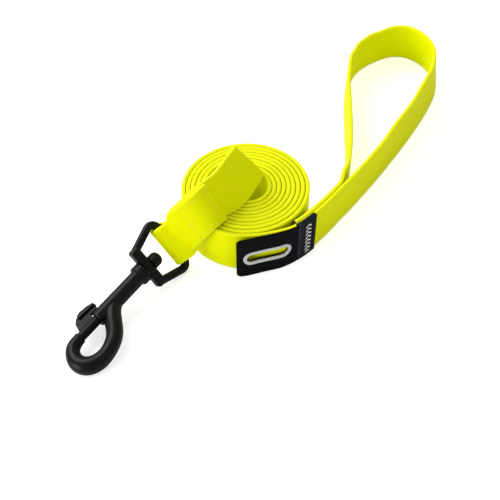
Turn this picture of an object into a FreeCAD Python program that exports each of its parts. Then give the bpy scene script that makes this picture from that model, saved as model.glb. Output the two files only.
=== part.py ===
import FreeCAD, Part
import math
import os

# Training leash: coated webbing strap rolled into a flat coil, hand loop, sewn label band,
# rubber tag holder with a slot, and a swivel bolt snap. Millimetres, +Z up, resting on z = 0.
# Everything is modelled with the coil's axis at x = y = 0: the hand loop reaches towards
# +X +Y and the snap lies towards -X -Y. SHIFT then moves the finished parts so that the
# origin is the centre of the footprint, on the resting plane.

Vector = FreeCAD.Vector
UP = Vector(0, 0, 1)
SHIFT = Vector(-17.472, -23.705, 0)     # minus the centre of the footprint

# ---- driving dimensions ----------------------------------------------------------------
# strap
STRAP_W = 25.0          # webbing width
STRAP_T = 2.2           # webbing thickness
HALF_T = STRAP_T / 2
LAYER = 2.35            # centre distance of two strap layers sewn together
PAIR_T = STRAP_T + LAYER    # thickness of two layers sewn together
COIL_PITCH = 2.4        # radial step per turn
COIL_R = 32.6           # centreline radius of the outermost turn at polar angle -90 degrees
COIL_TURNS = 9.147      # inner end at polar angle 217 degrees
NECK_W = 21.8           # strap width where it curls round the ring bar
BAR_GAP = 0.2           # clearance between ring bar and strap

# label band
LABEL_T = 0.9           # thickness of the outer panel
LABEL_GAP = 0.05        # gap between the panel and the strap's outer face
LABEL_TOP_GAP = 0.06    # gap above the strap's top edge
LABEL_FOLD = 1.3        # reach inwards over the strap's top edge
LABEL_Z0, LABEL_Z1 = 0.25, 25.5

# tag holder
TAB_T = 1.6
TAB_ROOT_T = 0.9
TAB_Z0, TAB_Z1 = 0.3, 25.7
TAB_CORNER_R = 2.6
SLOT_L, SLOT_H = 21.6, 5.6      # clear slot
SLOT_X, SLOT_Z = 10.6, 12.9     # place of the slot's centre
RIM_W = 1.6                     # width of the rim round the slot
RIM_PROUD = 0.25
RIM_DEPTH = 0.5                 # depth of the rim's seat in the outer face

# swivel eye
BAR = Vector(-37.56, -27.55, 13.0)      # centre of the ring's far bar, which the strap wraps
SNAP_YAW, SNAP_TILT, RING_ROLL = 53.2, 6.3, 47.0
RING_ARM_D = 4.2        # round bar of the ring
RING_H = 22.2           # ring length along the snap's axis
RING_FAR = 15.0         # half distance between arm centrelines at the far bar
RING_NEAR = 9.6         # the same at the base
RING_CORNER_R = 3.6     # centreline radius of the two far corners
RING_BASE_T = 5.2       # base thickness along the axis
RING_BASE_L, RING_BASE_W, RING_BASE_FILLET = 22.8, 5.6, 1.5

# swivel pin and snap, lengths along the snap's axis from the ring base's outer face
PIN_D = 4.0
PIN_CLEAR = 0.05        # radial running clearance of the pin in the ring base
PIN_END = 8.0           # inner end of the pin in the barrel
PIN_HEAD_R = 3.6
BASE_GAP = 0.1          # end clearance on either side of the ring base
BARREL_R = 4.0
COLLAR_R = 5.2
BARREL_END = 33.0       # mouth of the barrel
BOLT_D = 4.6
BOLT_CLEAR = 0.05
BOLT_REAR, BOLT_TIP = 22.0, 45.0
TIP_CLEAR = 0.15        # radial clearance at the barrel mouth and in the bow's end
TIP_SOCKET_END = 45.6
SPRING_WIRE = 0.5
SPRING_MEAN_D = 3.6
SPRING_TURNS = 7
SPRING_GAP = 0.3        # clearance at each end of the spring


# ---- vectors and curves ----------------------------------------------------------------
def unit(vector):
    result = Vector(vector)
    result.normalize()
    return result


def square_to(vector, axis):
    """Unit vector: the part of a vector at right angles to a unit axis."""
    return unit(vector - axis * vector.dot(axis))


def left(direction):
    """Horizontal direction to the left of a plan direction."""
    return Vector(-direction.y, direction.x, 0)


def polar(radius, degrees):
    angle = math.radians(degrees)
    return Vector(radius * math.cos(angle), radius * math.sin(angle), 0)


def smoothstep(start, end, x):
    u = max(0.0, min(1.0, (x - start) / (end - start)))
    return u * u * (3 - 2 * u)


def curve(points):
    spline = Part.BSplineCurve()
    spline.interpolate(points)
    return spline


def resample(points, step):
    """Points at even steps along a smooth curve through the points."""
    edge = curve(points).toShape()
    return edge.discretize(Number=max(2, int(round(edge.Length / step))) + 1)


def tangents(points):
    """Unit tangents of an open path, from the parabola through each point and its neighbours."""
    result = []
    for i in range(len(points)):
        j = max(1, min(len(points) - 2, i))
        before, after = points[j] - points[j - 1], points[j + 1] - points[j]
        len0, len1 = before.Length, after.Length
        total = len0 + len1
        slope0, slope1 = before * (1 / len0), after * (1 / len1)
        if i < j:
            tangent = slope0 * ((len0 + total) / total) - slope1 * (len0 / total)
        elif i > j:
            tangent = slope1 * ((len1 + total) / total) - slope0 * (len1 / total)
        else:
            tangent = slope0 * (len1 / total) + slope1 * (len0 / total)
        result.append(unit(tangent))
    return result


def stations(points, step):
    """(point, tangent) at even steps along a smooth curve."""
    even = resample(points, step)
    return list(zip(even, tangents(even)))


def frame(origin, x_dir, y_dir, z_dir):
    return FreeCAD.Placement(FreeCAD.Matrix(
        x_dir.x, y_dir.x, z_dir.x, origin.x,
        x_dir.y, y_dir.y, z_dir.y, origin.y,
        x_dir.z, y_dir.z, z_dir.z, origin.z,
        0, 0, 0, 1))


def plan_prism(outer, inner, z0, z1):
    """Upright solid between two open plan curves given by points running the same way."""
    face = Part.Face(Part.Wire([
        curve(outer).toShape(), Part.makeLine(outer[-1], inner[-1]),
        curve(inner).toShape(), Part.makeLine(inner[0], outer[0])]))
    face.translate(Vector(0, 0, z0))
    return face.extrude(Vector(0, 0, z1 - z0))


def outward_solid(shell):
    """Solid from a shell, turned so that its volume is positive."""
    shell.sewShape()
    solid = Part.Solid(shell)
    if solid.Volume < 0:
        solid.reverse()
    return solid


# ---- plan path of the strap standing on edge -------------------------------------------
# Outer face of the front run: coil exit, label, outer strand, loop, inner strand.
# Going this way, left is the inner side.
COIL_EXIT = ((-80, 33.85), (-72, 34.15), (-64, 34.75), (-56, 35.8),     # polar angle, radius
             (-50, 36.6), (-44, 37.2), (-38, 37.75))
LOOP = (    # x, y
    (34.3, -18.7), (38.6, -13.9), (43.3, -8.2), (49.1, -0.6), (55.0, 6.9), (61.1, 15.1),
    (67.3, 23.6), (73.7, 32.7), (80.4, 42.7), (87.3, 53.2), (94.5, 64.7), (102.2, 77.8),
    (109.4, 91.4), (114.2, 102.6), (116.8, 113.5), (116.0, 125.0), (111.9, 135.0),
    (105.7, 141.9), (98.6, 145.0), (91.2, 144.7), (84.1, 141.5), (77.0, 136.8),
    (70.2, 130.7), (64.8, 123.0), (61.5, 114.6), (59.6, 106.0), (58.3, 96.0), (57.4, 86.0),
    (56.8, 76.0), (56.3, 66.0), (55.9, 56.0), (55.3, 46.0), (54.5, 37.0), (53.5, 28.5),
    (52.2, 20.0))
FRONT = [polar(r, angle) for angle, r in COIL_EXIT] + [Vector(x, y, 0) for x, y in LOOP]
LOOP_RETURN = Vector(50.2, 12.2, 0)     # between the inner strand and the sewn second layer

# lean of the hand loop: x, y, distance the top edge stands inward of the bottom edge
LEAN = ((34, -19, 0.0), (61, 15, 0.9), (87, 53, 1.7), (109, 91, 3.0), (116, 113, 3.8),
        (112, 135, 3.8), (98, 145, 3.6), (84, 141, 3.2), (70, 130, 2.2), (64.8, 123, 1.5),
        (59.6, 106, 0.4), (57, 86, 0.0), (55, 46, 0.0))
LEAN_START, LEAN_START_RAMP = 28, 12.0      # in stations from the start of the path
LEAN_END, LEAN_END_RAMP = 30, 8.0           # in stations from its end
RUN_EDGES = 14          # edges that each long side of the front run is divided into


def in_second_layer(point):
    return (0 < point.x < 47.5 and point.y < 4.0
            and math.degrees(math.atan2(point.y, point.x)) > -47.0)


def run_stations():
    """(point, tangent) along the strap's centreline from the coil round the loop and back."""
    front = stations(FRONT, 3.0)
    second = [p + left(t) * (HALF_T + LAYER) for p, t in front]
    second = [p for p in second if in_second_layer(p)]
    second.reverse()
    centre = [Vector(0, -COIL_R, 0)] + [p + left(t) * HALF_T for p, t in front]
    centre += [LOOP_RETURN] + second
    run = list(zip(centre, tangents(centre)))
    run[0] = (centre[0], Vector(1, 0, 0))       # square to the end of the coil
    return run


RUN = run_stations()


def lean_at(point, k):
    """Lean at station k: distance-weighted mean of the table, ramped at both ends."""
    last = len(RUN) - LEAN_END
    if k < LEAN_START or k > last:
        return 0.0
    weights = [(1.0 / (1e-3 + (point.x - x) ** 2 + (point.y - y) ** 2) ** 1.5, lean)
               for x, y, lean in LEAN]
    mean = sum(w * lean for w, lean in weights) / sum(w for w, lean in weights)
    return (mean * min(1.0, (k - LEAN_START) / LEAN_START_RAMP)
            * min(1.0, (last - k) / LEAN_END_RAMP))


def run_side(offset, z):
    """Points of the front run at an offset to the left of its centreline."""
    return [p + left(t) * (offset + lean_at(p, k) * z / STRAP_W) + Vector(0, 0, z)
            for k, (p, t) in enumerate(RUN)]


# the coil is built of half-turn arcs, numbered from 0 at the outer end inwards
HALF_TURNS = COIL_TURNS * 2
LAST_HALF = int(HALF_TURNS)
LAST_SWEEP = 180 * (HALF_TURNS - LAST_HALF)


def half_turn(index):
    """Centreline radius and centre y of a half-turn arc."""
    radius = COIL_R - COIL_PITCH / 4 - COIL_PITCH / 2 * index
    return radius, -COIL_PITCH / 4 if index % 2 == 0 else COIL_PITCH / 4


def spiral(offset, z):
    """Arcs of the coil at a radial offset from the centreline, from the inner end outwards."""
    edges = []
    for index in range(LAST_HALF, -1, -1):
        radius, centre_y = half_turn(index)
        start, end = (90, 270) if index % 2 == 0 else (-90, 90)
        if index == LAST_HALF:
            start = end - LAST_SWEEP
        points = [polar(radius + offset, angle) + Vector(0, centre_y, z)
                  for angle in (start, (start + end) / 2, end)]
        edges.append(Part.Arc(*points).toShape())
    return edges


def divided_curve(points, count):
    """Smooth curve through the points as a list of joined edges."""
    spline = curve(points)
    params = [spline.parameter(points[round(i * (len(points) - 1) / count)])
              for i in range(count + 1)]
    params[0], params[-1] = spline.FirstParameter, spline.LastParameter
    return [spline.toShape(a, b) for a, b in zip(params, params[1:])]


def outline(z):
    """Closed outline of the standing strap at a height, as a list of edges."""
    inner, outer = [spiral(-offset, z) + divided_curve(run_side(offset, z), RUN_EDGES)
                    for offset in (HALF_T, -HALF_T)]
    (inner0, inner1), (outer0, outer1) = [
        (side[0].valueAt(side[0].FirstParameter), side[-1].valueAt(side[-1].LastParameter))
        for side in (inner, outer)]
    return (inner + [Part.makeLine(inner1, outer1)]
            + outer + [Part.makeLine(inner0, outer0)])


def make_standing():
    """Coil, front run, hand loop and sewn second layer, standing on edge."""
    loops = [outline(0.0), outline(STRAP_W)]
    faces = [Part.Face(Part.Wire(Part.__sortEdges__(loop))) for loop in loops]
    faces += [Part.makeRuledSurface(low, high) for low, high in zip(*loops)]
    return outward_solid(Part.makeShell(faces))


# ---- directions of the snap and the ring -----------------------------------------------
yaw, tilt, roll = (math.radians(angle) for angle in (SNAP_YAW, SNAP_TILT, RING_ROLL))
SNAP_AXIS = Vector(math.cos(yaw) * math.cos(tilt),      # from the ring's far bar's opposite
                   math.sin(yaw) * math.cos(tilt),      # end, the hook, towards that bar
                   math.sin(tilt))
SNAP_SIDE = Vector(math.sin(yaw), -math.cos(yaw), 0)
SNAP_NORMAL = SNAP_SIDE.cross(SNAP_AXIS)
BAR_AXIS = SNAP_SIDE * math.cos(roll) - SNAP_NORMAL * math.sin(roll)
RING_NORMAL = BAR_AXIS.cross(SNAP_AXIS)
SNAP_ORIGIN = BAR - SNAP_AXIS * (RING_H - RING_ARM_D / 2)   # on the ring base's outer face

BAR_TO_FLAP = square_to(Vector(0.63, 0.14, 0.75), BAR_AXIS)
BAR_OUTWARD = BAR_AXIS.cross(BAR_TO_FLAP)       # outward side of the strap at the bar
if BAR_OUTWARD.y > 0:
    BAR_OUTWARD = BAR_OUTWARD * -1
WRAP_R = RING_ARM_D / 2 + BAR_GAP + HALF_T      # strap centreline round the bar

# ---- hook end: rises from the coil, folds over, runs to the ring, wraps it, returns ----
# climb through the coil's open centre: centre, width direction, heading in plan (degrees)
CLIMB = (((-9.1, -4.6, 13.2), (-.03, 0, 1), 110),
         ((-8.9, -3.0, 15.4), (-.10, 0, .99), 94),
         ((-8.1, -2.0, 18.8), (-.22, -.01, .975), 76),
         ((-6.7, -1.2, 22.6), (-.36, -.02, .93), 69),
         ((-5.1, 0.0, 26.4), (-.48, -.03, .88), 68),
         ((-3.0, 2.4, 30.0), (-.56, -.04, .83), 68))

# outer surface of the flap from the fold to the bar:
# centreline point, direction from the lower to the upper edge
FLAP_TABLE = (((2.4, 7.0, 37.2), (-.59, -.08, .80)), ((0.2, 2.2, 37.1), (-.60, -.03, .80)),
              ((-2.1, -2.6, 37.1), (-.60, .01, .80)), ((-4.3, -7.3, 37.2), (-.58, .03, .81)),
              ((-6.6, -11.9, 37.4), (-.54, .04, .84)), ((-9.0, -16.4, 37.9), (-.48, .04, .88)),
              ((-11.6, -21.0, 38.5), (-.42, .02, .91)), ((-14.6, -25.7, 39.2), (-.40, .01, .92)),
              ((-18.2, -29.9, 38.9), (-.41, 0, .91)), ((-22.1, -31.8, 36.2), (-.44, .01, .90)),
              ((-25.8, -31.9, 32.2), (-.47, .03, .88)), ((-29.1, -31.0, 27.4), (-.49, .08, .87)),
              ((-31.9, -30.0, 22.6), (-.52, .16, .84)))
# last points, from the bar's centre: distance towards the flap, distance outwards
FLAP_AT_BAR = ((7.0, 2.9), (3.4, 4.0), (0.0, WRAP_R + HALF_T))
FLAP_POINTS = [Vector(*point) for point, width_dir in FLAP_TABLE]
FLAP_POINTS += [BAR + BAR_TO_FLAP * along + BAR_OUTWARD * out for along, out in FLAP_AT_BAR]
FLAP_WIDTHS = [Vector(*width_dir) for point, width_dir in FLAP_TABLE]
FLAP_WIDTHS += [BAR_AXIS * -1] * len(FLAP_AT_BAR)

# stations along the flap, counted in table entries
U_FOLD = 0.45           # fold
U_CUT = 6.78            # cut end of the returning layer
U_END = 14.5            # start of the wrap
U_STEP = 0.5
U_DROP = (4.6, 6.4)     # the lower layer drops clear of the returning one
U_PART = (12.4, 15.0)   # the layers open round the ring bar
U_NECK = (11.6, 13.2)   # the strap narrows
BAR_PART = 4.3          # extra gap between the layers at the bar

FOLD_R = 1.6
FOLD_DROP = 1.6         # the arriving layer lies this much lower than the returning one
FOLD_ENTRY = Vector(0.33, 0.88, 0.28)       # direction of the strap entering the fold
FOLD_STEPS = 8
WRAP_STEPS = 10


def catmull_rom(values, u):
    """Catmull-Rom interpolation in a list of vectors."""
    i = int(u)
    f = u - i
    p1, p2 = values[i], values[i + 1]
    p0 = values[i - 1] if i > 0 else p1 * 2 - p2
    p3 = values[i + 2] if i + 2 < len(values) else p2 * 2 - p1
    return (p1 * 2 + (p2 - p0) * f + (p0 * 2 - p1 * 5 + p2 * 4 - p3) * f * f
            + (p1 * 3 - p0 - p2 * 3 + p3) * f ** 3) * 0.5


def flap(u):
    """Point, direction, width direction and upward normal of the flap's outer surface."""
    tangent = unit(catmull_rom(FLAP_POINTS, u + 0.05) - catmull_rom(FLAP_POINTS, u - 0.05))
    width_dir = unit(catmull_rom(FLAP_WIDTHS, u))
    normal = unit(tangent.cross(width_dir))
    if normal.dot(Vector(-0.1, -0.5, 1)) <= 0:
        normal = normal * -1
    return catmull_rom(FLAP_POINTS, u), tangent, width_dir, normal


# Each section below is (centre, width direction, thickness direction, width).
def coil_end_section():
    radius, centre_y = half_turn(LAST_HALF)
    angle = -90 - LAST_SWEEP
    tangent = polar(1, angle + 90)
    centre = polar(radius, angle) + Vector(0, centre_y, STRAP_W / 2)
    return centre, UP, tangent.cross(UP) * -1, STRAP_W


def climb_sections():
    sections = []
    for centre, width_dir, heading in CLIMB:
        width_dir = unit(Vector(*width_dir))
        thickness_dir = square_to(polar(1, heading - 90), width_dir)
        sections.append((Vector(*centre), width_dir, thickness_dir, STRAP_W))
    return sections


def fold_sections():
    """The strap turns back about a leaning axis parallel to its width."""
    point, _, width_dir, normal = flap(U_FOLD)
    normal = square_to(normal, width_dir)
    start = unit(width_dir.cross(FOLD_ENTRY))
    angle = math.degrees(math.acos(start.dot(normal)))
    axis = unit(start.cross(normal))
    pivot = point - normal * (HALF_T + FOLD_R)
    sections = []
    for i in range(FOLD_STEPS + 1):
        radial = FreeCAD.Rotation(axis, angle * i / FOLD_STEPS).multVec(start)
        centre = pivot + radial * FOLD_R - width_dir * (FOLD_DROP * (1 - i / FOLD_STEPS))
        sections.append((centre, width_dir, radial * -1, STRAP_W))
    return sections


def flap_sections():
    """Sections of the lower layer towards the bar and of the returning layer back from it."""
    lower, returning = [], []
    for i in range(1, int((U_END - U_FOLD) / U_STEP) + 1):
        u = U_FOLD + U_STEP * i
        point, _, width_dir, normal = flap(u)
        depth = HALF_T + LAYER * smoothstep(*U_DROP, u) + BAR_PART * smoothstep(*U_PART, u)
        width = STRAP_W - (STRAP_W - NECK_W) * smoothstep(*U_NECK, u)
        lower.append((point - normal * depth, width_dir, normal * -1, width))
        if u > U_CUT:
            returning.append((point - normal * HALF_T, width_dir, normal, width))
    returning.reverse()
    point, _, width_dir, normal = flap(U_CUT)
    returning.append((point - normal * HALF_T, width_dir, normal, STRAP_W))
    return lower, returning


def wrap_sections():
    sections = []
    for i in range(WRAP_STEPS + 1):
        angle = math.radians(-90 - 180.0 * i / WRAP_STEPS)
        radial = BAR_TO_FLAP * math.cos(angle) + BAR_OUTWARD * math.sin(angle)
        sections.append((BAR + radial * WRAP_R, BAR_AXIS * -1, radial, NECK_W))
    return sections


def section_wire(centre, width_dir, thickness_dir, width):
    across = unit(width_dir) * (width / 2)
    through = unit(thickness_dir) * HALF_T
    corners = [centre - across - through, centre + across - through,
               centre + across + through, centre - across + through]
    return Part.makePolygon(corners + [corners[0]])


def make_strap():
    """One continuous strap: both bodies without the face they share, sewn together."""
    lower, returning = flap_sections()
    joint = coil_end_section()
    sections = ([joint] + climb_sections() + fold_sections()
                + lower + wrap_sections() + returning)
    hook_end = Part.makeLoft([section_wire(*section) for section in sections], True, True)
    skin = []
    for body in (make_standing(), hook_end):
        shared = min(body.Faces, key=lambda face: (face.CenterOfMass - joint[0]).Length
                     + abs(face.Area - STRAP_W * STRAP_T))
        skin += [face for face in body.Faces if not face.isSame(shared)]
    return outward_solid(Part.makeShell(skin))


# ---- label band ------------------------------------------------------------------------
FINE = stations(FRONT, 0.4)


def nearest(x, y):
    return min(range(len(FINE)), key=lambda i: (FINE[i][0] - Vector(x, y, 0)).Length)


LABEL_START, LABEL_END = nearest(25.1, -28.3), nearest(34.2, -19.9)     # indices in FINE


def band(first, last, offset0, offset1, z0, z1):
    """Strip along the front run between two offsets inwards from the strap's outer face."""
    picked = [FINE[k] for k in list(range(first, last, 5)) + [last]]
    sides = [[p + left(t) * offset for p, t in picked] for offset in (offset0, offset1)]
    return plan_prism(*sides, z0, z1)


def make_label_band():
    block = band(LABEL_START, LABEL_END, -LABEL_T, LABEL_FOLD, LABEL_Z0, LABEL_Z1)
    strap_room = band(LABEL_START - 6, LABEL_END + 6, -LABEL_GAP, STRAP_T + 1.0,
                      0.0, STRAP_W + LABEL_TOP_GAP)
    return block.cut(strap_room)


# ---- stitching -------------------------------------------------------------------------
THREAD = 0.5            # side of the square thread


def stitch(origin, along, normal, length, proud, depth):
    """A closed rectangular loop of thread through the layers; origin is on the surface."""
    along, normal = unit(along), unit(normal)
    height = depth + 2 * proud
    outer = Part.makeBox(length, THREAD, height,
                         Vector(-length / 2, -THREAD / 2, -depth - proud))
    inner = Part.makeBox(length - 2 * THREAD, THREAD * 3, height - 2 * THREAD,
                         Vector(-length / 2 + THREAD, -THREAD * 1.5, -depth - proud + THREAD))
    loop = outer.cut(inner)
    loop.Placement = frame(origin, along, normal.cross(along), normal)
    return loop


def upright_seam(index, standoff, first_z, pitch, count, length, proud):
    """Vertical row of stitches through both strap layers at a station of FINE."""
    point, tangent = FINE[index]
    outward = left(tangent) * -1
    start = point + outward * standoff
    return Part.makeCompound([
        stitch(start + UP * (first_z + pitch * i), UP, outward,
               length, proud, standoff + PAIR_T)
        for i in range(count)])


def label_seam(index):
    return upright_seam(index, standoff=LABEL_T, first_z=2.4, pitch=3.5, count=7,
                        length=2.3, proud=0.2)


def handle_seam(fraction):
    """Seam at a fraction of the label's length."""
    index = int(LABEL_START + (LABEL_END - LABEL_START) * fraction)
    return upright_seam(index, standoff=0.0, first_z=2.5, pitch=4.0, count=6,
                        length=2.8, proud=0.0)


def make_hook_end_stitching():
    """Two rows across the flap, joined by a line of stitches along each edge."""
    size = dict(length=2.9, proud=0.12, depth=PAIR_T)
    row_reach = STRAP_W / 2 - 3.0
    edge_reach = STRAP_W / 2 - 2.6
    threads = []
    for u in (7.35, 10.35):
        point, _, width_dir, normal = flap(u)
        for i in range(5):
            origin = point + width_dir * (row_reach * (i / 2 - 1))
            threads.append(stitch(origin, width_dir, normal, **size))
    for u in (8.1, 8.85, 9.6):
        point, tangent, width_dir, normal = flap(u)
        for side in (-1, 1):
            origin = point + width_dir * (side * edge_reach)
            threads.append(stitch(origin, tangent, normal, **size))
    return Part.makeCompound(threads)


# ---- tag holder: a rubber tongue with a slot, bent at the root -------------------------
# x, y of the outer face, from the root to the tip
TAB = ((21.8, -30.4), (16.9, -33.0), (11.8, -34.6), (6.7, -36.1), (1.6, -37.7), (-5.0, -38.8))
TAB_TAPER = (1.0, 9.0)      # distances from the root over which the tongue thickens
RIM_SLAB_H = 26             # taller than the tongue
SLOT_CUT_DEPTH = 14         # well through the tongue


def hinge_point():
    """Plan position of the bend, just outside the label's start."""
    point, tangent = FINE[LABEL_START]
    return (point - left(tangent) * (0.15 + TAB_ROOT_T / 2)
            - tangent * (0.10 + TAB_ROOT_T / 2))


def tab_stations():
    """(outer face point, tangent, thickness) from the root to the tip."""
    points = [Vector(x, y, 0) for x, y in TAB]
    root_dir = unit(points[0] - HINGE)
    outer = stations([HINGE + left(root_dir) * (TAB_ROOT_T / 2)] + points, 1.6)
    result = []
    distance, previous = 0.0, outer[0][0]
    for point, tangent in outer:
        distance += (point - previous).Length
        previous = point
        thickness = TAB_ROOT_T + (TAB_T - TAB_ROOT_T) * smoothstep(*TAB_TAPER, distance)
        result.append((point, tangent, thickness))
    return result


HINGE = hinge_point()
TAB_RUN = tab_stations()


def tab_slab(grow, z0, z1, depth=None):
    """Slab from grow outside the outer face to a depth inside it, or to the inner face.

    Going from root to tip, left is away from the coil.
    """
    outer = [p + left(t) * grow for p, t, thickness in TAB_RUN]
    inner = [p - left(t) * (depth or thickness) for p, t, thickness in TAB_RUN]
    return plan_prism(outer, inner, z0, z1)


def slot_prism(length, height):
    """Round-ended prism through the tongue, centred on the slot."""
    radius, depth = height / 2, SLOT_CUT_DEPTH
    half = (length - height) / 2
    prism = Part.makeBox(length - height, height, depth, Vector(-half, -radius, -depth / 2))
    for x in (-half, half):
        prism = prism.fuse(Part.makeCylinder(radius, depth, Vector(x, 0, -depth / 2)))
    prism = prism.removeSplitter()
    point, tangent, _ = min(TAB_RUN, key=lambda station: abs(station[0].x - SLOT_X))
    inward = left(tangent) * -1
    centre = point + inward * (TAB_T / 2) + Vector(0, 0, SLOT_Z)
    prism.Placement = frame(centre, tangent, inward.cross(tangent), inward)
    return prism


def rim_layer(grow):
    """Rim outline, filled, from grow outside the outer face to the seat's depth."""
    outline_prism = slot_prism(SLOT_L + 2 * RIM_W, SLOT_H + 2 * RIM_W)
    return tab_slab(grow, 0, RIM_SLAB_H, RIM_DEPTH).common(outline_prism)


def make_tag_holder():
    tab = tab_slab(0, TAB_Z0, TAB_Z1)
    tip = TAB_RUN[-1][0]
    tip_edges = [edge for edge in tab.Edges
                 if abs(edge.Vertexes[0].Z - edge.Vertexes[-1].Z) < 1e-6
                 and edge.Length < TAB_T * 1.3
                 and math.hypot(edge.CenterOfMass.x - tip.x, edge.CenterOfMass.y - tip.y) < 2]
    tab = tab.makeFillet(TAB_CORNER_R, tip_edges)
    tab = tab.cut(slot_prism(SLOT_L, SLOT_H)).cut(rim_layer(1.0))
    root = Part.makeCylinder(TAB_ROOT_T / 2, TAB_Z1 - TAB_Z0, Vector(HINGE.x, HINGE.y, TAB_Z0))
    return tab.fuse(root)


def make_slot_rim():
    return rim_layer(RIM_PROUD).cut(slot_prism(SLOT_L, SLOT_H))


# ---- swivel eye and snap ---------------------------------------------------------------
# Both frames start at the ring base's outer face. Eye: +X towards the strap's bar.
# Snap: +X towards the hook.
EYE = frame(SNAP_ORIGIN, SNAP_AXIS, BAR_AXIS * -1, RING_NORMAL)
SNAP = frame(SNAP_ORIGIN, SNAP_AXIS * -1, SNAP_SIDE, SNAP_NORMAL)

PIN_PROFILE = (     # x, radius
    (-11.0, 1.4), (-10.8, 2.2), (-10.3, 2.9), (-9.5, 3.4), (-8.6, PIN_HEAD_R),
    (-6.4, PIN_HEAD_R), (-5.6, PIN_HEAD_R), (-RING_BASE_T - BASE_GAP, 3.3),
    (-RING_BASE_T - BASE_GAP, PIN_D / 2), (PIN_END - 0.4, PIN_D / 2),
    (PIN_END, PIN_D / 2 - 0.4))
BARREL_PROFILE = (  # x, radius
    (BASE_GAP, 4.7), (0.6, COLLAR_R), (3.9, COLLAR_R), (4.5, 4.8), (4.9, BARREL_R),
    (BARREL_END - 0.4, BARREL_R), (BARREL_END, 3.6))
BOLT_PROFILE = (    # x, radius
    (BOLT_REAR, 1.9), (BOLT_REAR + 0.4, BOLT_D / 2), (BOLT_TIP - 0.8, BOLT_D / 2),
    (BOLT_TIP, BOLT_D / 2 - 0.6))
BOW = (             # x, y, radius along the hook's curved bow
    (17.5, 0.2, 2.6), (22.0, 1.2, 3.4), (25.8, 3.2, 3.9), (28.8, 6.0, 4.1), (31.6, 9.3, 4.05),
    (34.6, 12.2, 3.9), (39.1, 14.6, 3.75), (44.2, 15.8, 3.8), (49.0, 15.4, 4.1),
    (53.2, 12.8, 4.3), (54.7, 8.9, 4.1), (53.7, 4.7, 3.6), (51.0, 1.5, 3.3),
    (47.6, 0.25, 3.05), (44.6, 0.0, 2.95))
LEVER_WEB_T, LEVER_PAD_T = 2.2, 4.8
LEVER_WEB = (       # x, y
    (42.9, -2.0), (41.2, -6.2), (39.0, -8.0), (36.0, -8.6), (31.8, -8.1), (28.0, -7.0),
    (27.6, -6.0), (28.6, -4.25), (33.4, -4.25), (33.4, -2.0))
LEVER_PAD = (       # x, y
    (38.0, -6.6), (38.0, -8.1), (35.6, -8.6), (31.8, -8.15), (28.2, -7.1), (28.2, -6.2),
    (33.0, -6.4))


def turned(profile):
    """Solid of revolution about the X axis from (x, radius) points."""
    points = [Vector(x, radius, 0) for x, radius in profile]
    points = [Vector(profile[0][0], 0, 0)] + points + [Vector(profile[-1][0], 0, 0)]
    face = Part.Face(Part.makePolygon(points + [points[0]]))
    return face.revolve(Vector(0, 0, 0), Vector(1, 0, 0), 360)


def cylinder_x(radius, x0, x1):
    return Part.makeCylinder(radius, x1 - x0, Vector(x0, 0, 0), Vector(1, 0, 0))


def centred_plate(outline_points, thickness):
    points = [Vector(x, y, -thickness / 2) for x, y in outline_points]
    face = Part.Face(Part.makePolygon(points + [points[0]]))
    return face.extrude(Vector(0, 0, thickness))


def make_swivel_eye():
    start = Vector(RING_BASE_T / 2, RING_NEAR, 0)
    corner = Vector(RING_H - RING_ARM_D / 2, RING_FAR, 0)
    arm_dir, bar_dir = unit(start - corner), Vector(0, -1, 0)
    half = math.acos(arm_dir.dot(bar_dir)) / 2
    trim = RING_CORNER_R / math.tan(half)
    bisector = unit(arm_dir + bar_dir)
    arc = [corner + arm_dir * trim,
           corner + bisector * (RING_CORNER_R / math.sin(half) - RING_CORNER_R),
           corner + bar_dir * trim]
    mirrored = [Vector(p.x, -p.y, 0) for p in reversed(arc)]
    path = Part.Wire([
        Part.makeLine(start, arc[0]), Part.Arc(*arc).toShape(),
        Part.makeLine(arc[2], mirrored[0]), Part.Arc(*mirrored).toShape(),
        Part.makeLine(mirrored[2], Vector(start.x, -start.y, 0))])
    profile = Part.Wire([Part.Circle(start, arm_dir * -1, RING_ARM_D / 2).toShape()])
    ring = path.makePipeShell([profile], True, True)
    base = Part.makeBox(RING_BASE_T, RING_BASE_L, RING_BASE_W,
                        Vector(0, -RING_BASE_L / 2, -RING_BASE_W / 2))
    base = base.makeFillet(RING_BASE_FILLET, base.Edges)
    return ring.fuse(base).cut(cylinder_x(PIN_D / 2 + PIN_CLEAR, -1, RING_BASE_T + 1))


def make_snap_body():
    points = [Vector(x, y, 0) for x, y, radius in BOW]
    directions = tangents(points)
    directions[-1] = Vector(-1, 0, 0)       # the bow's end faces the barrel squarely
    rings = [Part.Wire([Part.Circle(point, direction, radius).toShape()])
             for point, direction, (x, y, radius) in zip(points, directions, BOW)]
    body = turned(BARREL_PROFILE).fuse(Part.makeLoft(rings, True))
    for radius, x0, x1 in ((PIN_D / 2, -1, PIN_END + 0.02),
                           (BOLT_D / 2 + BOLT_CLEAR, PIN_END, BARREL_END + 0.5),
                           (BOLT_D / 2 + TIP_CLEAR, BARREL_END - 3, TIP_SOCKET_END)):
        body = body.cut(cylinder_x(radius, x0, x1))
    lever_slot = Part.makeBox(11.0, 8.0, 2.6, Vector(23.4, -8.0, -1.3))
    return body.cut(lever_slot)


def make_thumb_lever():
    web = centred_plate(LEVER_WEB, LEVER_WEB_T)
    return web.fuse(centred_plate(LEVER_PAD, LEVER_PAD_T)).removeSplitter()


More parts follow.
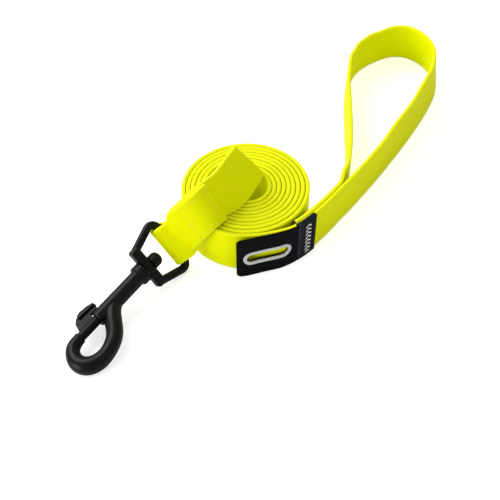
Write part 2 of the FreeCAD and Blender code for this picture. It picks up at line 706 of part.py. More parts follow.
def make_bolt_spring():
    """Helix between the pin's inner end and the bolt's rear end."""
    start, end = PIN_END + SPRING_GAP, BOLT_REAR - SPRING_GAP
    pitch = (end - start - SPRING_WIRE) / SPRING_TURNS
    radius = SPRING_MEAN_D / 2
    helix = Part.makeHelix(pitch, pitch * SPRING_TURNS, radius)
    circle = Part.Circle(Vector(radius, 0, 0), Vector(0, 1, 0), SPRING_WIRE / 2)
    spring = Part.Wire(helix).makePipeShell([Part.Wire([circle.toShape()])], True, True)
    spring.rotate(Vector(0, 0, 0), Vector(0, 1, 0), 90)
    spring.translate(Vector(start + SPRING_WIRE / 2, 0, 0))
    return spring


def placed(shape, where):
    shape.Placement = where.multiply(shape.Placement)
    return shape


# ---- parts -----------------------------------------------------------------------------
nodes = {
    "strap": make_strap(),
    "label_band": make_label_band(),
    "label_seam_front": label_seam(LABEL_START + 3),
    "label_seam_rear": label_seam(LABEL_END - 3),
    "handle_seam_front": handle_seam(0.36),
    "handle_seam_rear": handle_seam(0.66),
    "hook_end_stitching": make_hook_end_stitching(),
    "tag_holder": make_tag_holder(),
    "slot_rim": make_slot_rim(),
    "swivel_eye": placed(make_swivel_eye(), EYE),
    "swivel_pin": placed(turned(PIN_PROFILE), SNAP),
    "snap_body": placed(make_snap_body(), SNAP),
    "bolt": placed(turned(BOLT_PROFILE), SNAP),
    "thumb_lever": placed(make_thumb_lever(), SNAP),
    "bolt_spring": placed(make_bolt_spring(), SNAP),
}

os.makedirs("parts", exist_ok=True)
for name, shape in nodes.items():
    shape.translate(SHIFT)
    shape.exportStep("parts/" + name + ".step")
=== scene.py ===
"""Yellow coated webbing strap, wound in a flat coil that stands on its edge, with a snap hook.

Lengths are millimetres with the coil's axis at x = y = 0 and the floor at z = 0. SHIFT moves
them into the row frame, which is in metres. The strap leaves the coil at the front (-Y), runs
out to +X and +Y and turns back as the hand loop. Its inner end climbs out of the coil to the
hook, which lies at -X, -Y.
"""
import bpy
import math
import numpy as np
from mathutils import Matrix, Quaternion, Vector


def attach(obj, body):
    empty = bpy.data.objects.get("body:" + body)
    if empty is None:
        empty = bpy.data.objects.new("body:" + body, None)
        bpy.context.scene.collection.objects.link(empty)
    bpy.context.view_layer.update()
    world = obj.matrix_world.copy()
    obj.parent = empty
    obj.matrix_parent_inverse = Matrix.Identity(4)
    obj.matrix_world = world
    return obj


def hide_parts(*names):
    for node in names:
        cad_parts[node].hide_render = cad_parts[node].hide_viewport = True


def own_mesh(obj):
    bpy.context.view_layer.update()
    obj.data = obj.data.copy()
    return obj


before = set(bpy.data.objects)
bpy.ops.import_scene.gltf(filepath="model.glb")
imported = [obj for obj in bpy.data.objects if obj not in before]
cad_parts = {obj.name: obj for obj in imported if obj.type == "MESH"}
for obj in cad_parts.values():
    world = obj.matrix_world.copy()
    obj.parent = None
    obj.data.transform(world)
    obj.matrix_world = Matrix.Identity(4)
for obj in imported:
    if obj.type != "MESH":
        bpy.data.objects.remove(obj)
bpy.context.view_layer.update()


def V(x, y, z=0.0):
    return Vector((x, y, z))


def square(direction, axis):
    """The unit direction nearest to the given one at right angles to a unit axis."""
    return (direction - axis * direction.dot(axis)).normalized()


# ---- driving dimensions, mm ----------------------------------------------------------------------
MM = 0.001
SHIFT = V(-17.472, -23.705)
UP = V(0, 0, 1)
STRAP_WIDTH, STRAP_THICK, STRAP_CORNER = 25.0, 2.2, 0.85
COIL_PITCH, COIL_RADIUS, COIL_TURNS = 2.4, 32.6, 9.147
LAYER = 2.35             # from one strap layer to the next where two lie together
NECK_WIDTH = 21.8        # strap width round the bar of the swivel ring
BAR = V(-37.56, -27.55, 13.0)
BAR_DIAMETER, BAR_GAP = 4.2, 0.2
BAR_SPREAD = 4.3         # extra distance between the two layers at the bar
YAW, TILT, ROLL = (math.radians(a) for a in (53.2, 6.3, 47.0))

HOOK_AXIS = V(math.cos(YAW) * math.cos(TILT), math.sin(YAW) * math.cos(TILT), math.sin(TILT))
HOOK_SIDE = V(math.sin(YAW), -math.cos(YAW))
BAR_AXIS = HOOK_SIDE * math.cos(ROLL) - HOOK_SIDE.cross(HOOK_AXIS) * math.sin(ROLL)
FROM_BAR = square(V(0.63, 0.14, 0.75), BAR_AXIS)    # the way the strap leaves the bar
BAR_OUT = BAR_AXIS.cross(FROM_BAR)                  # towards the outer layer
WRAP_RADIUS = BAR_DIAMETER / 2 + BAR_GAP + STRAP_THICK / 2


# ---- curves --------------------------------------------------------------------------------------
def smooth(start, end, x):
    """Eased step from 0 at start to 1 at end."""
    u = max(0.0, min(1.0, (x - start) / (end - start)))
    return u * u * (3 - 2 * u)


def wave(x, seed):
    """Slow irregular variation between -1 and 1, the same every run."""
    return (math.sin(x * 1.0 + seed * 1.7) + math.sin(x * 2.3 + seed * 3.1) * 0.6
            + math.sin(x * 4.7 + seed * 5.3) * 0.3) / 1.9


def spline(points, step):
    """Natural cubic spline through points, resampled at even steps."""
    given = np.array([tuple(q) for q in points], float)
    gaps = np.linalg.norm(np.diff(given, axis=0), axis=1)
    knots = np.concatenate([[0.0], np.cumsum(gaps)])
    n = len(knots)
    system = np.zeros((n, n))
    rhs = np.zeros((n, given.shape[1]))
    system[0, 0] = system[-1, -1] = 1
    for i in range(1, n - 1):
        system[i, i - 1] = gaps[i - 1]
        system[i, i] = 2 * (gaps[i - 1] + gaps[i])
        system[i, i + 1] = gaps[i]
        rhs[i] = 6 * ((given[i + 1] - given[i]) / gaps[i] - (given[i] - given[i - 1]) / gaps[i - 1])
    curvature = np.linalg.solve(system, rhs)

    def at(x):
        i = np.clip(np.searchsorted(knots, x, side="right") - 1, 0, n - 2)
        gap = gaps[i][:, None]
        u, v = (knots[i + 1] - x)[:, None] / gap, (x - knots[i])[:, None] / gap
        bend = (u ** 3 - u) * curvature[i] + (v ** 3 - v) * curvature[i + 1]
        return u * given[i] + v * given[i + 1] + bend * gap ** 2 / 6

    fine = np.linspace(0, knots[-1], max(200, int(knots[-1] * 8)))
    lengths = np.linalg.norm(np.diff(at(fine), axis=0), axis=1)
    travelled = np.concatenate([[0.0], np.cumsum(lengths)])
    count = max(2, int(round(travelled[-1] / step))) + 1
    even = np.linspace(0, travelled[-1], count)
    return [Vector(c) for c in at(np.interp(even, travelled, fine))]


def catmull_rom(values, u):
    """Smooth value at position u of a list, counted in entries."""
    i = max(0, min(len(values) - 2, int(u)))
    f = u - i
    p1, p2 = values[i], values[i + 1]
    p0 = values[i - 1] if i > 0 else p1 * 2 - p2
    p3 = values[i + 2] if i + 2 < len(values) else p2 * 2 - p1
    return (p1 * 2 + (p2 - p0) * f + (p0 * 2 - p1 * 5 + p2 * 4 - p3) * f * f
            + (p1 * 3 - p0 - p2 * 3 + p3) * f ** 3) * 0.5


def tangents(points):
    last = len(points) - 1
    return [(points[min(last, i + 1)] - points[max(0, i - 1)]).normalized()
            for i in range(last + 1)]


def left(heading):
    return V(-heading.y, heading.x)


def polar(radius, degrees):
    return V(radius * math.cos(math.radians(degrees)), radius * math.sin(math.radians(degrees)))


def circle_tangent(degrees):
    return V(-math.sin(math.radians(degrees)), math.cos(math.radians(degrees)))


# A strap station is (centre, width direction, thickness direction, width).

# ---- coil: half circles about two centres, which together make a spiral --------------------------
HALF_TURNS = COIL_TURNS * 2
LAST_HALF = int(HALF_TURNS)
PART_HALF = 180 * (HALF_TURNS - LAST_HALF)    # degrees covered by the innermost half turn
COIL_STEP = 1.1
EDGE_RISE, EDGE_WAVES = 0.28, 2.9     # how far turns stand off the floor, and waves per turn
WOBBLE, WOBBLE_WAVES = 0.05, 5.1      # the same for the radius


def half_radius(half):
    return COIL_RADIUS - COIL_PITCH / 4 - COIL_PITCH / 2 * half


def coil_stations():
    """The coil from its inner end to the outside."""
    stations = []
    for half in range(LAST_HALF, -1, -1):
        radius = half_radius(half)
        if half % 2 == 0:
            start, end, centre_y = 90, 270, -COIL_PITCH / 4
        else:
            start, end, centre_y = -90, 90, COIL_PITCH / 4
        if half == LAST_HALF:
            start = end - PART_HALF
        count = max(2, int(round(radius * math.radians(end - start) / COIL_STEP)))
        for i in range(count):
            angle = start + (end - start) * i / count
            turn = (half * 180 + (end - angle)) / 360.0
            # the outermost part stays true, so that it meets the standing run
            fade = smooth(0.0, 0.6, turn)
            rise = fade * (EDGE_RISE + EDGE_RISE * wave(turn * EDGE_WAVES, seed=1.0))
            rise *= smooth(0, 1.0, abs(turn - COIL_TURNS) + 0.3)
            out = fade * WOBBLE * wave(turn * WOBBLE_WAVES, seed=2.0)
            centre = polar(radius + out, angle) + V(0, centre_y, STRAP_WIDTH / 2 + rise)
            stations.append((centre, UP.copy(), left(circle_tangent(angle)), STRAP_WIDTH))
    return stations


# ---- standing run and hand loop ------------------------------------------------------------------
# outer face where it leaves the coil: degrees, radius
LEAVING = ((-80, 33.85), (-72, 34.15), (-64, 34.75), (-56, 35.8), (-50, 36.6), (-44, 37.2),
           (-38, 37.75))
# outer face from there, round the hand loop and back: x, y
LOOP = ((34.3, -18.7), (38.6, -13.9), (43.3, -8.2), (49.1, -0.6), (55.0, 6.9), (61.1, 15.1),
        (67.3, 23.6), (73.7, 32.7), (80.4, 42.7), (87.3, 53.2), (94.5, 64.7), (102.2, 77.8),
        (109.4, 91.4), (114.2, 102.6), (116.8, 113.5), (116.0, 125.0), (111.9, 135.0),
        (105.7, 141.9), (98.6, 145.0), (91.2, 144.7), (84.1, 141.5), (77.0, 136.8),
        (70.2, 130.7), (64.8, 123.0), (61.5, 114.6), (59.6, 106.0), (58.3, 96.0), (57.4, 86.0),
        (56.8, 76.0), (56.3, 66.0), (55.9, 56.0), (55.3, 46.0), (54.5, 37.0), (53.5, 28.5),
        (52.2, 20.0))
LOOP_CLOSE = V(50.2, 12.2)            # centre line, where the loop comes back to the run
# part of the run that the returning end lies along
RETURN_X, RETURN_Y, RETURN_ANGLE = 47.5, 4.0, -47.0
# sideways lean of the top edge near a place: x, y, lean
LEAN = ((34, -19, 0.0), (61, 15, 0.9), (87, 53, 1.7), (109, 91, 3.0), (116, 113, 3.8),
        (112, 135, 3.8), (98, 145, 3.6), (84, 141, 3.2), (70, 130, 2.2), (64.8, 123, 1.5),
        (59.6, 106, 0.4), (57, 86, 0.0), (55, 46, 0.0))
# upright lengths at the start and end of the run, and how fast the lean sets in
UPRIGHT_START, UPRIGHT_END, LEAN_IN, LEAN_OUT = 84, 90, 36.0, 24.0


def lean_at(point, travelled, total):
    if travelled < UPRIGHT_START or travelled > total - UPRIGHT_END:
        return 0.0
    weights = [1.0 / (1e-3 + (point.x - x) ** 2 + (point.y - y) ** 2) ** 1.5 for x, y, _ in LEAN]
    lean = sum(w * row[2] for w, row in zip(weights, LEAN)) / sum(weights)
    return (lean * min(1.0, (travelled - UPRIGHT_START) / LEAN_IN)
            * min(1.0, (total - UPRIGHT_END - travelled) / LEAN_OUT))


def on_return(p):
    return (0 < p.x < RETURN_X and p.y < RETURN_Y
            and math.degrees(math.atan2(p.y, p.x)) > RETURN_ANGLE)


def standing_stations():
    """From the coil, round the hand loop, and back along the inside of the run."""
    face = spline([polar(r, a) for a, r in LEAVING] + [V(x, y) for x, y in LOOP], 3.0)
    face = list(zip(face, tangents(face)))
    first = [p + left(t) * (STRAP_THICK / 2) for p, t in face]
    second = [p + left(t) * (STRAP_THICK / 2 + LAYER) for p, t in face]
    second = [p for p in second if on_return(p)]
    run = spline([V(0, -COIL_RADIUS)] + first + [LOOP_CLOSE] + second[::-1], 1.2)
    headings = tangents(run)
    headings[0] = V(1, 0)
    travelled = [0.0]
    for a, b in zip(run, run[1:]):
        travelled.append(travelled[-1] + (b - a).length)
    stations = []
    for point, heading, distance in zip(run, headings, travelled):
        lean = lean_at(point, distance, travelled[-1])
        side = left(heading)
        across = V(0, 0, STRAP_WIDTH) + side * lean
        centre = point + side * (lean / 2) + V(0, 0, STRAP_WIDTH / 2)
        through = across.cross(heading).normalized()
        stations.append((centre, across.normalized(), through, across.length))
    return stations


# ---- hook end: up out of the coil, folded over it, round the bar and back on itself --------------
# climb out of the coil: centre, width direction, heading in degrees
CLIMB = ((V(-9.1, -4.6, 13.2), V(-.03, 0, 1), 110), (V(-8.9, -3.0, 15.4), V(-.10, 0, .99), 94),
         (V(-8.1, -2.0, 18.8), V(-.22, -.01, .975), 76),
         (V(-6.7, -1.2, 22.6), V(-.36, -.02, .93), 69),
         (V(-5.1, 0.0, 26.4), V(-.48, -.03, .88), 68),
         (V(-3.0, 2.4, 30.0), V(-.56, -.04, .83), 68))
# outer face from the fold to the bar: point, width direction
FLAP = ((V(2.4, 7.0, 37.2), V(-.59, -.08, .80)), (V(0.2, 2.2, 37.1), V(-.60, -.03, .80)),
        (V(-2.1, -2.6, 37.1), V(-.60, .01, .80)), (V(-4.3, -7.3, 37.2), V(-.58, .03, .81)),
        (V(-6.6, -11.9, 37.4), V(-.54, .04, .84)), (V(-9.0, -16.4, 37.9), V(-.48, .04, .88)),
        (V(-11.6, -21.0, 38.5), V(-.42, .02, .91)), (V(-14.6, -25.7, 39.2), V(-.40, .01, .92)),
        (V(-18.2, -29.9, 38.9), V(-.41, 0, .91)), (V(-22.1, -31.8, 36.2), V(-.44, .01, .90)),
        (V(-25.8, -31.9, 32.2), V(-.47, .03, .88)), (V(-29.1, -31.0, 27.4), V(-.49, .08, .87)),
        (V(-31.9, -30.0, 22.6), V(-.52, .16, .84)),
        (BAR + FROM_BAR * 7.0 + BAR_OUT * 2.9, -BAR_AXIS),
        (BAR + FROM_BAR * 3.4 + BAR_OUT * 4.0, -BAR_AXIS),
        (BAR + BAR_OUT * (WRAP_RADIUS + STRAP_THICK / 2), -BAR_AXIS))
# places along the flap, counted in rows of FLAP
FOLD_AT, CUT_AT = 0.45, 6.78
UNDER_START, UNDER_STEP, UNDER_COUNT = 0.5, 0.25, 55    # start is counted from the fold
SECOND_LAYER, NARROWING, SPREADING = (4.6, 6.4), (11.6, 13.2), (12.4, 15.0)
FOLD_RADIUS, FOLD_DROP, FOLD_STEPS = 1.6, 1.6, 8
FOLD_HEADING = V(0.33, 0.88, 0.28)
WRAP_STEPS = 12
FLAP_OUTWARD = V(-0.1, -0.5, 1)


def flap(u):
    """Outer face, width direction and outward direction at row u of FLAP."""
    points, widths = zip(*FLAP)
    ahead, behind = min(u + 0.05, len(FLAP) - 1), max(u - 0.05, 0)
    heading = (catmull_rom(points, ahead) - catmull_rom(points, behind)).normalized()
    across = catmull_rom(widths, u).normalized()
    out = heading.cross(across).normalized()
    return catmull_rom(points, u), across, (out if out.dot(FLAP_OUTWARD) > 0 else -out)


def climb_stations():
    inner = -90 - PART_HALF
    start = polar(half_radius(LAST_HALF), inner) + V(0, -COIL_PITCH / 4, STRAP_WIDTH / 2)
    stations = [(start, UP.copy(), left(circle_tangent(inner)), STRAP_WIDTH)]
    for point, across, degrees in CLIMB:
        heading = math.radians(degrees)
        across = across.normalized()
        through = square(V(math.sin(heading), -math.cos(heading)), across)
        stations.append((point, across, through, STRAP_WIDTH))
    return stations


def fold_stations():
    point, across, out = flap(FOLD_AT)
    out = square(out, across)
    start = across.cross(FOLD_HEADING).normalized()
    angle = math.acos(max(-1, min(1, start.dot(out))))
    axis = start.cross(out).normalized()
    pivot = point - out * (STRAP_THICK / 2 + FOLD_RADIUS)
    stations = []
    for i in range(FOLD_STEPS + 1):
        outward = Quaternion(axis, angle * i / FOLD_STEPS) @ start
        drop = across * (FOLD_DROP * (1 - i / FOLD_STEPS))
        stations.append((pivot + outward * FOLD_RADIUS - drop, across, -outward, STRAP_WIDTH))
    return stations


def layer_stations():
    """The under layer on its way to the bar, and the over layer listed the same way."""
    under, over = [], []
    for i in range(UNDER_COUNT):
        u = FOLD_AT + UNDER_START + i * UNDER_STEP
        point, across, out = flap(u)
        width = STRAP_WIDTH - (STRAP_WIDTH - NECK_WIDTH) * smooth(*NARROWING, u)
        depth = (STRAP_THICK / 2 + LAYER * smooth(*SECOND_LAYER, u)
                 + BAR_SPREAD * smooth(*SPREADING, u))
        under.append((point - out * depth, across, -out, width))
        if u > CUT_AT:
            over.append((point - out * (STRAP_THICK / 2), across, out, width))
    return under, over


def wrap_stations():
    """Half a turn round the bar, by its far side."""
    stations = []
    for i in range(WRAP_STEPS + 1):
        angle = math.radians(-90 - 180.0 * i / WRAP_STEPS)
        out = FROM_BAR * math.cos(angle) + BAR_OUT * math.sin(angle)
        stations.append((BAR + out * WRAP_RADIUS, -BAR_AXIS, out, NECK_WIDTH))
    return stations


def refine(stations, parts):
    """Stations in between, smooth through the given ones."""
    columns = [[s[i] for s in stations] for i in range(3)]
    fine = []
    for i in range(len(stations) - 1):
        for j in range(parts):
            f = j / parts
            width = stations[i][3] * (1 - f) + stations[i + 1][3] * f
            fine.append((*(catmull_rom(column, i + f) for column in columns), width))
    return fine + [stations[-1]]


def hook_stations():
    """From the coil's inner end to the cut end on the outside of the flap."""
    under, over = layer_stations()
    point, across, out = flap(CUT_AT)
    cut_end = (point - out * (STRAP_THICK / 2), across, out, STRAP_WIDTH)
    return refine(climb_stations() + fold_stations() + under + wrap_stations()
                  + over[::-1] + [cut_end], parts=3)


# ---- swept strap mesh ----------------------------------------------------------------------------
def outline(width, segments=4):
    """Rounded rectangle as (across, through), with holding points beside each corner."""
    x, y = width / 2 - STRAP_CORNER, STRAP_THICK / 2 - STRAP_CORNER
    points = []
    for side_x, side_y, start in ((1, 1, 0), (-1, 1, 90), (-1, -1, 180), (1, -1, 270)):
        corner = V(side_x * x, side_y * y)
        arc = []
        for i in range(segments + 1):
            angle = math.radians(start + 90 * i / segments)
            arc.append((side_x * x + STRAP_CORNER * math.cos(angle),
                        side_y * y + STRAP_CORNER * math.sin(angle)))
        face = side_y * STRAP_THICK / 2
        holding = [(side_x * (x - 0.5), face), (side_x * width * 0.2, face)]
        points += arc + holding if side_x * side_y > 0 else holding[::-1] + arc
    return points


def sweep(name, stations):
    """Strap mesh along the stations, with its own coordinates as attributes for the coating."""
    verts, along, across, edge = [], [], [], []
    travelled = 0.0
    previous = stations[0][0]
    for centre, wide, through, width in stations:
        through = through.normalized()
        wide = square(wide, through)
        travelled += (centre - previous).length
        previous = centre
        ring = outline(width)
        for a, b in ring:
            verts.append(tuple((centre + wide * a + through * b + SHIFT) * MM))
            along.append(travelled)
            across.append(a)
            edge.append(smooth(width / 2 - 1.3, width / 2 - 0.1, abs(a)))
    n, count = len(ring), len(stations)
    faces = []
    for i in range(count - 1):
        for j in range(n):
            k = (j + 1) % n
            faces.append((i * n + j, i * n + k, (i + 1) * n + k, (i + 1) * n + j))
    faces.append(tuple(range(n))[::-1])
    faces.append(tuple(range((count - 1) * n, count * n)))
    mesh = bpy.data.meshes.new(name)
    mesh.from_pydata(verts, [], faces)
    mesh.polygons.foreach_set("use_smooth", [True] * (len(faces) - 2) + [False] * 2)
    for label, values in (("along", along), ("across", across), ("edge", edge)):
        attribute = mesh.attributes.new(label, "FLOAT", "POINT")
        attribute.data.foreach_set("value", np.array(values, np.float32))
    mesh.update()
    ob = bpy.data.objects.new(name, mesh)
    bpy.context.scene.collection.objects.link(ob)
    bpy.context.view_layer.objects.active = ob
    bpy.ops.object.select_all(action="DESELECT")
    ob.select_set(True)
    bpy.ops.object.mode_set(mode="EDIT")
    bpy.ops.mesh.select_all(action="SELECT")
    bpy.ops.mesh.normals_make_consistent(inside=False)
    bpy.ops.object.mode_set(mode="OBJECT")
    return ob


# the hook end is reversed, without the station it shares with the coil
strap = sweep("strap_skin", hook_stations()[:0:-1] + coil_stations() + standing_stations())
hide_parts("strap")
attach(strap, "strap")


# ---- materials; shader distances are metres ------------------------------------------------------
class Mat:
    """A Principled material with short calls for the nodes used here."""

    def __init__(self, name):
        self.data = bpy.data.materials.new(name)
        self.data.use_nodes = True
        self.tree = self.data.node_tree
        self.shader = self.tree.nodes["Principled BSDF"]
        self.coord = self.node("ShaderNodeTexCoord").outputs["Object"]

    def node(self, kind, **inputs):
        node = self.tree.nodes.new(kind)
        for name, value in inputs.items():
            self.plug(node.inputs[name], value)
        return node

    def plug(self, socket, value):
        if isinstance(value, (int, float)):
            socket.default_value = value
        elif isinstance(value, tuple):
            socket.default_value = (*value, 1)
        else:
            self.tree.links.new(value, socket)

    def set(self, name, value):
        self.plug(self.shader.inputs[name], value)

    def math(self, operation, *operands):
        node = self.node("ShaderNodeMath")
        node.operation = operation
        for i, value in enumerate(operands):
            self.plug(node.inputs[i], value)
        return node.outputs[0]

    def times(self, a, b):
        return self.math("MULTIPLY", a, b)

    def ripple(self, value, cycles):
        """Sine wave with this many cycles for each unit of value."""
        return self.math("SINE", self.times(value, 2 * math.pi * cycles))

    def noise(self, scale, detail=4):
        return self.node("ShaderNodeTexNoise", Scale=scale, Detail=detail, Roughness=0.55,
                         Vector=self.coord).outputs["Fac"]

    def attribute(self, name):
        node = self.node("ShaderNodeAttribute")
        node.attribute_name = name
        return node.outputs["Fac"]

    def remap(self, value, low, high, to_low=0, to_high=1):
        node = self.node("ShaderNodeMapRange")
        for i, v in enumerate((value, low, high, to_low, to_high)):
            self.plug(node.inputs[i], v)
        return node.outputs[0]

    def spread(self, noise, to_low=0, to_high=1):
        """The middle of a noise stretched over a range."""
        return self.remap(noise, 0.3, 0.7, to_low, to_high)

    def mix(self, factor, a, b):
        node = self.node("ShaderNodeMix")
        node.data_type = "RGBA"
        for i, value in ((0, factor), (6, a), (7, b)):
            self.plug(node.inputs[i], value)
        return node.outputs[2]

    def bump(self, height, strength, distance, under=None):
        """Relief from height, laid over another bump if one is given."""
        node = self.node("ShaderNodeBump", Strength=strength, Distance=distance, Height=height)
        if under is not None:
            self.plug(node.inputs["Normal"], under)
        return node.outputs[0]


def strap_material():
    m = Mat("yellow_coating")
    big, fine = m.noise(scale=38, detail=3), m.noise(scale=420)
    grain = m.noise(scale=2600, detail=2)
    along, across, edge = m.attribute("along"), m.attribute("across"), m.attribute("edge")
    color = m.mix(m.spread(big), (0.765, 0.80, 0.0), (0.80, 0.84, 0.0))
    specks = m.times(m.remap(fine, low=0.55, high=0.8), 0.12)
    color = m.mix(specks, color, (0.70, 0.70, 0.01))
    # painted highlight: paler yellow along the strap's rounded edges
    color = m.mix(m.times(edge, 0.5), color, (0.90, 0.93, 0.02))
    # painted shade: base colour darkened to olive by ambient occlusion in tight gaps between the
    # turns and behind the tag holder
    occlusion = m.node("ShaderNodeAmbientOcclusion", Distance=0.006)
    occlusion.samples = 8
    gap = m.remap(occlusion.outputs["AO"], low=0.06, high=0.52)
    color = m.mix(gap, (0.24, 0.24, 0.0), color)
    m.set("Base Color", color)
    m.set("Roughness", m.spread(fine, 0.40, 0.54))
    m.set("Specular IOR Level", 0.03)
    # painted light: a faint glow in the coating's own colour lifts its shaded sides
    m.set("Emission Color", color)
    m.set("Emission Strength", 0.06)
    # weave of the webbing showing faintly through the coating; periods in mm
    weave = m.times(m.ripple(along, 1 / 1.6), m.ripple(across, 1 / 1.15))
    relief = m.bump(weave, strength=0.10, distance=0.00004)
    relief = m.bump(grain, strength=0.10, distance=0.00006, under=relief)
    m.set("Normal", m.bump(big, strength=0.22, distance=0.0006, under=relief))
    return m.data


def black_metal():
    m = Mat("black_coated_metal")
    big, fine, grain = m.noise(scale=60), m.noise(scale=700), m.noise(scale=3200, detail=2)
    m.set("Base Color", m.mix(m.spread(big), (0.002, 0.002, 0.0024), (0.0045, 0.004, 0.005)))
    m.set("Roughness", m.spread(fine, 0.24, 0.36))
    m.set("Specular IOR Level", 0.15)
    relief = m.bump(grain, strength=0.10, distance=0.00005)
    m.set("Normal", m.bump(big, strength=0.10, distance=0.0004, under=relief))
    return m.data


def spring_metal():
    m = Mat("spring_wire")
    m.set("Base Color", m.mix(m.spread(m.noise(scale=900)), (0.42, 0.42, 0.43), (0.55, 0.55, 0.56)))
    m.set("Metallic", 1.0)
    m.set("Roughness", m.spread(m.noise(scale=1500), 0.2, 0.35))
    m.set("Normal", m.bump(m.noise(scale=4000, detail=2), strength=0.1, distance=0.00003))
    return m.data


def rubber():
    m = Mat("black_rubber")
    big, fine = m.noise(scale=70, detail=3), m.noise(scale=600)
    grain = m.noise(scale=2400, detail=3)
    m.set("Base Color", m.mix(m.spread(big), (0.0015, 0.0015, 0.0018), (0.003, 0.003, 0.0035)))
    m.set("Roughness", m.spread(fine, 0.50, 0.66))
    m.set("Specular IOR Level", 0.05)
    relief = m.bump(big, strength=0.1, distance=0.0003)
    m.set("Normal", m.bump(grain, strength=0.16, distance=0.00008, under=relief))
    return m.data


def rim_plastic():
    m = Mat("pale_rim")
    fine = m.noise(scale=800)
    m.set("Base Color", m.mix(m.spread(fine), (0.50, 0.51, 0.53), (0.66, 0.67, 0.69)))
    m.set("Roughness", m.spread(fine, 0.35, 0.5))
    m.set("Normal", m.bump(m.noise(scale=2500, detail=2), strength=0.12, distance=0.00005))
    return m.data


def label_material():
    """Dark woven band; u runs 0 to 1 along the label and v up the strap's width."""
    (x0, y0), (x1, y1) = (25.1, -28.3), (34.2, -19.9)    # ends of the label, mm
    m = Mat("woven_label")
    start = (V(x0, y0) + SHIFT) * MM
    way = V(x1 - x0, y1 - y0)
    length = way.length * MM
    way.normalize()
    position = m.node("ShaderNodeSeparateXYZ", Vector=m.coord)
    x, y, z = position.outputs
    u = m.math("ADD", m.times(m.math("SUBTRACT", x, start.x), way.x),
               m.times(m.math("SUBTRACT", y, start.y), way.y))
    u = m.math("DIVIDE", u, length)
    v = m.math("DIVIDE", z, STRAP_WIDTH * MM)
    # woven ground, from the thread periods
    weave = m.times(m.ripple(u, length / 0.00055), m.ripple(v, STRAP_WIDTH * MM / 0.0005))
    ground = m.mix(m.remap(weave, low=-1, high=1), (0.005, 0.006, 0.009), (0.011, 0.012, 0.018))
    # paler strip near the start of the label
    strip = m.times(m.math("GREATER_THAN", u, 0.02), m.math("LESS_THAN", u, 0.30))
    ground = m.mix(m.times(strip, 0.35), ground, (0.030, 0.031, 0.040))
    # woven mark: a column of chevrons, in mm from its centre line and up from the floor
    side = m.times(m.math("SUBTRACT", u, 0.57), length / MM)
    height = m.times(v, STRAP_WIDTH)
    slant = m.math("ADD", height, m.times(m.math("ABSOLUTE", side), 0.7))
    repeat = m.math("FRACT", m.math("DIVIDE", slant, 2.7))
    mark = m.times(m.math("LESS_THAN", repeat, 0.42),
                   m.math("LESS_THAN", m.math("ABSOLUTE", side), 1.9))
    mark = m.times(mark, m.times(m.math("GREATER_THAN", height, 2.4),
                                 m.math("LESS_THAN", height, 23.2)))
    wear = m.remap(m.noise(scale=1800, detail=3), low=0.35, high=0.6, to_low=0.75, to_high=1.0)
    m.set("Base Color", m.mix(m.times(mark, wear), ground, (0.78, 0.79, 0.82)))
    m.set("Roughness", m.spread(m.noise(scale=500), 0.7, 0.9))
    m.set("Specular IOR Level", 0.1)
    m.set("Normal", m.bump(weave, strength=0.35, distance=0.00008))
    return m.data


def thread(name, dark, light):
    m = Mat(name)
    twist = m.noise(scale=2600, detail=3)
    m.set("Base Color", m.mix(m.spread(twist), dark, light))
    m.set("Roughness", m.spread(twist, 0.5, 0.8))
    m.set("Normal", m.bump(twist, strength=0.4, distance=0.0001))
    return m.data


strap.data.materials.append(strap_material())
black = black_metal()
wire, tag_rubber, rim, label = spring_metal(), rubber(), rim_plastic(), label_material()
dark_thread = thread("dark_thread", (0.012, 0.012, 0.018), (0.035, 0.035, 0.045))
yellow_thread = thread("yellow_thread", (0.75, 0.78, 0.02), (0.92, 0.95, 0.15))
hook_thread = thread("hook_thread", (0.73, 0.76, 0.0), (0.80, 0.83, 0.0))

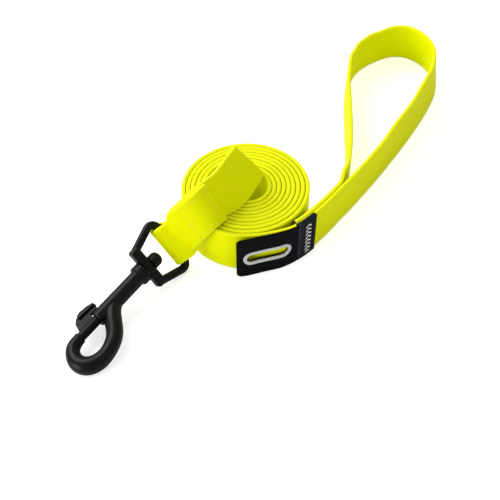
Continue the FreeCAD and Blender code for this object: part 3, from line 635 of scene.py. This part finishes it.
# CAD piece, material, bevel width in mm (0 for none)
PIECES = (
    ("swivel_eye", black, 0), ("swivel_pin", black, 0), ("snap_body", black, 0.35),
    ("bolt", black, 0.15), ("thumb_lever", black, 0.55), ("bolt_spring", wire, 0),
    ("tag_holder", tag_rubber, 0.35), ("slot_rim", rim, 0.2), ("label_band", label, 0.30),
    ("label_seam_front", dark_thread, 0), ("label_seam_rear", dark_thread, 0),
    ("handle_seam_front", yellow_thread, 0), ("handle_seam_rear", yellow_thread, 0),
    ("hook_end_stitching", hook_thread, 0))
for name, material, bevel_width in PIECES:
    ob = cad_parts[name]
    ob.data.materials.clear()
    ob.data.materials.append(material)
    ob.data.polygons.foreach_set("use_smooth", [True] * len(ob.data.polygons))
    if bevel_width:
        bevel = ob.modifiers.new("edge", "BEVEL")
        bevel.width = bevel_width * MM
        bevel.segments = 3
        bevel.limit_method = "ANGLE"
        bevel.angle_limit = math.radians(38)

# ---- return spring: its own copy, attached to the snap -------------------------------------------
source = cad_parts["bolt_spring"]
bpy.context.view_layer.update()
wire_mesh = source.data.copy()
wire_mesh.transform(source.matrix_world)
spring = bpy.data.objects.new("return_spring", wire_mesh)
bpy.context.scene.collection.objects.link(spring)
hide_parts("bolt_spring")
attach(spring, "snap")
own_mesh(spring)


# ---- stage, metres -------------------------------------------------------------------------------
def floor_material():
    m = Mat("floor")
    m.set("Base Color", m.mix(m.spread(m.noise(scale=3)), (0.93, 0.93, 0.93), (0.95, 0.95, 0.95)))
    m.set("Roughness", 0.9)
    m.set("Emission Color", (1.0, 1.0, 1.0))
    # glows for the camera only, so it lights nothing
    seen = m.node("ShaderNodeLightPath").outputs["Is Camera Ray"]
    m.set("Emission Strength", m.times(seen, 0.55))
    m.set("Specular IOR Level", 0.1)
    return m.data


def area_light(name, location, size, power):
    """Round light aimed at the origin."""
    light = bpy.data.lights.new(name, "AREA")
    light.shape = "DISK"
    light.size = size
    light.energy = power
    ob = bpy.data.objects.new(name, light)
    ob.location = location
    ob.rotation_euler = (-Vector(location)).to_track_quat("-Z", "Y").to_euler()
    bpy.context.scene.collection.objects.link(ob)


bpy.ops.mesh.primitive_plane_add(size=6.0, location=(0, 0, -0.0002))
floor = bpy.context.object
floor.name = "floor"
floor.data.materials.append(floor_material())

area_light("key", location=(-0.75, 0.55, 1.0), size=1.0, power=11.5)
area_light("side", location=(-1.15, -0.75, 0.35), size=0.9, power=10.5)

scene = bpy.context.scene
world = bpy.data.worlds.new("studio")
world.use_nodes = True
color, strength = world.node_tree.nodes["Background"].inputs[:2]
color.default_value = (1, 1, 1, 1)
strength.default_value = 0.58
scene.world = world
scene.view_settings.view_transform = "Standard"

lens = bpy.data.cameras.new("cam")
lens.sensor_width = 36.0
lens.lens = 57.5568
lens.clip_start = 0.01
camera = bpy.data.objects.new("cam", lens)
camera.location = (V(1.608, -287.27, 309.83) + SHIFT) * MM
camera.rotation_euler = (math.radians(40.681), 0, 0)
scene.collection.objects.link(camera)
scene.camera = camera
